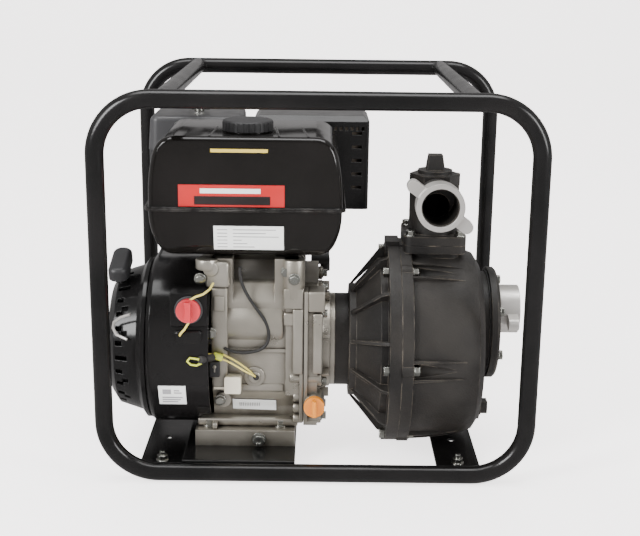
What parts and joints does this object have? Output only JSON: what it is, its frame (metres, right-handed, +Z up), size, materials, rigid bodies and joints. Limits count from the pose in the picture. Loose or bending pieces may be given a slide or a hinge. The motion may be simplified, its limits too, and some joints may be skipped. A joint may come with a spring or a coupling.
{
  "type": "engine driven water pump",
  "caption": "Self-priming centrifugal water pump bolted to a horizontal-shaft petrol engine, carried in an open frame made of bent round tube",
  "frame": {"origin": "on the floor, at the middle of the frame", "axes": "+X towards the suction port, -Y towards the discharge port, +Z up"},
  "size_m": [0.614, 0.516, 0.549],
  "materials": {
    "frame_paint": "satin",
    "cast_silver": "as cast",
    "pump_paint": "satin",
    "gloss_black": "gloss",
    "black_plastic": "matte",
    "zinc": "satin",
    "steel": "ground",
    "rubber": "matte",
    "red_plastic": "gloss",
    "orange_plastic": "satin",
    "cream_plastic": "satin",
    "yellow_lead": "satin",
    "filter_foam": "matte",
    "coupling": "satin"
  },
  "bodies": {
    "frame": {"front_loop": "frame_paint", "rear_loop": "frame_paint", "top_bar_left": "frame_paint", "top_bar_right": "frame_paint", "cross_plate_left": "frame_paint", "cross_plate_right": "frame_paint", "engine_base": "frame_paint", "rubber_pads": "rubber", "frame_bolts": "zinc", "crankcase": "cast_silver", "side_cover": "cast_silver", "cylinder_head": "cast_silver", "rocker_cover": "gloss_black", "cover_bolts": "zinc", "drain_bolt": "zinc", "m8_bolts": "zinc", "casing_bolts": "zinc", "plug_cap": "rubber", "connecting_rod": "cast_silver", "piston": "cast_silver", "fan_shroud": "gloss_black", "recoil_cover": "gloss_black", "oil_alert_unit": "cream_plastic", "black_lead": "rubber", "yellow_leads": "yellow_lead", "tank_upper": "gloss_black", "tank_lower": "gloss_black", "carburettor": "cast_silver", "air_cleaner_base": "black_plastic", "filter_element": "filter_foam", "muffler": "steel", "heat_shield": "frame_paint", "pump_bracket": "pump_paint", "pump_casing": "pump_paint", "mechanical_seal": "steel", "volute": "pump_paint", "suction_gasket": "rubber", "suction_flange": "pump_paint", "suction_tail": "coupling", "discharge_head": "pump_paint"},
    "crank": {"crankshaft": "steel", "flywheel": "cast_silver", "starter_cup": "zinc", "impeller": "pump_paint"},
    "grip": {"starter_grip": "black_plastic", "starter_rope": "rubber"},
    "reel": {"recoil_reel": "black_plastic"},
    "filler_cap": {"fuel_cap": "black_plastic"},
    "knob": {"switch_knob": "red_plastic"},
    "oil_plug": {"oil_filler_plug": "orange_plastic"},
    "prime_plug": {"priming_plug": "pump_paint"},
    "drain_plug": {"pump_drain_plug": "pump_paint"},
    "inlet_nut": {"suction_nut": "coupling"},
    "outlet_nut": {"discharge_nut": "coupling"},
    "flap": {"check_flap": "rubber"},
    "cleaner_cover": {"air_cleaner_cover": "black_plastic"},
    "cleaner_nut": {"air_cleaner_nut": "zinc"},
    "choke": {"choke_lever": "black_plastic"},
    "fuel_valve": {"fuel_valve_lever": "black_plastic"},
    "throttle": {"throttle_lever": "zinc"}
  },
  "joints": [
    {"name": "crank_spin", "type": "hinge", "parent": "frame", "child": "crank", "pos_m": [0, -0.085, 0.16], "axis": [1, 0, 0], "continuous": true},
    {"name": "starter_pull", "type": "slide", "parent": "frame", "child": "grip", "axis": [0, -0.2756, 0.9613], "range_m": [0, 0.45], "stiffness_N_per_m": 12},
    {"name": "reel_turn", "type": "hinge", "parent": "frame", "child": "reel", "pos_m": [0, -0.085, 0.16], "axis": [1, 0, 0], "range_deg": [0, 740]},
    {"name": "fuel_cap_turn", "type": "hinge", "parent": "frame", "child": "filler_cap", "pos_m": [-0.1, -0.12, 0.485], "axis": [0, 0, 1], "range_deg": [0, 90]},
    {"name": "engine_switch_turn", "type": "hinge", "parent": "frame", "child": "knob", "pos_m": [-0.179, -0.205, 0.238], "axis": [0, -1, 0], "range_deg": [0, 60]},
    {"name": "oil_filler_turn", "type": "hinge", "parent": "frame", "child": "oil_plug", "pos_m": [-0.002, -0.185, 0.09], "axis": [0, -1, 0], "continuous": true},
    {"name": "priming_plug_turn", "type": "hinge", "parent": "frame", "child": "prime_plug", "pos_m": [0.17, -0.085, 0.42], "axis": [0, 0, 1], "continuous": true},
    {"name": "pump_drain_turn", "type": "hinge", "parent": "frame", "child": "drain_plug", "pos_m": [0.25, -0.1, 0.06], "axis": [1, 0, 0], "continuous": true},
    {"name": "suction_nut_turn", "type": "hinge", "parent": "frame", "child": "inlet_nut", "pos_m": [0.285, -0.085, 0.21], "axis": [1, 0, 0], "continuous": true},
    {"name": "discharge_nut_turn", "type": "hinge", "parent": "frame", "child": "outlet_nut", "pos_m": [0.17, -0.17, 0.383], "axis": [0, -1, 0], "continuous": true},
    {"name": "check_flap_swing", "type": "hinge", "parent": "frame", "child": "flap", "pos_m": [0.229, -0.085, 0.252], "axis": [0, 1, 0], "range_deg": [0, 25], "stiffness_Nm_per_rad": 0.02},
    {"name": "cleaner_cover_lift", "type": "slide", "parent": "frame", "child": "cleaner_cover", "axis": [0, 0, 1], "range_m": [0, 0.03]},
    {"name": "cleaner_nut_turn", "type": "hinge", "parent": "cleaner_cover", "child": "cleaner_nut", "pos_m": [-0.195, 0.145, 0.477], "axis": [0, 0, 1], "continuous": true},
    {"name": "choke_turn", "type": "hinge", "parent": "frame", "child": "choke", "pos_m": [-0.176, 0.094, 0.32], "axis": [0, 1, 0], "range_deg": [0, 60]},
    {"name": "fuel_valve_turn", "type": "hinge", "parent": "frame", "child": "fuel_valve", "pos_m": [-0.162, 0.094, 0.282], "axis": [0, 1, 0], "range_deg": [-60, 0]},
    {"name": "throttle_turn", "type": "hinge", "parent": "frame", "child": "throttle", "pos_m": [-0.215, -0.02, 0.287], "axis": [0, 0, 1], "range_deg": [0, 40]}
  ],
  "couplings": [
    {"joint": "reel_turn", "follows": "starter_pull", "rad_per_m": 28.57}
  ]
}
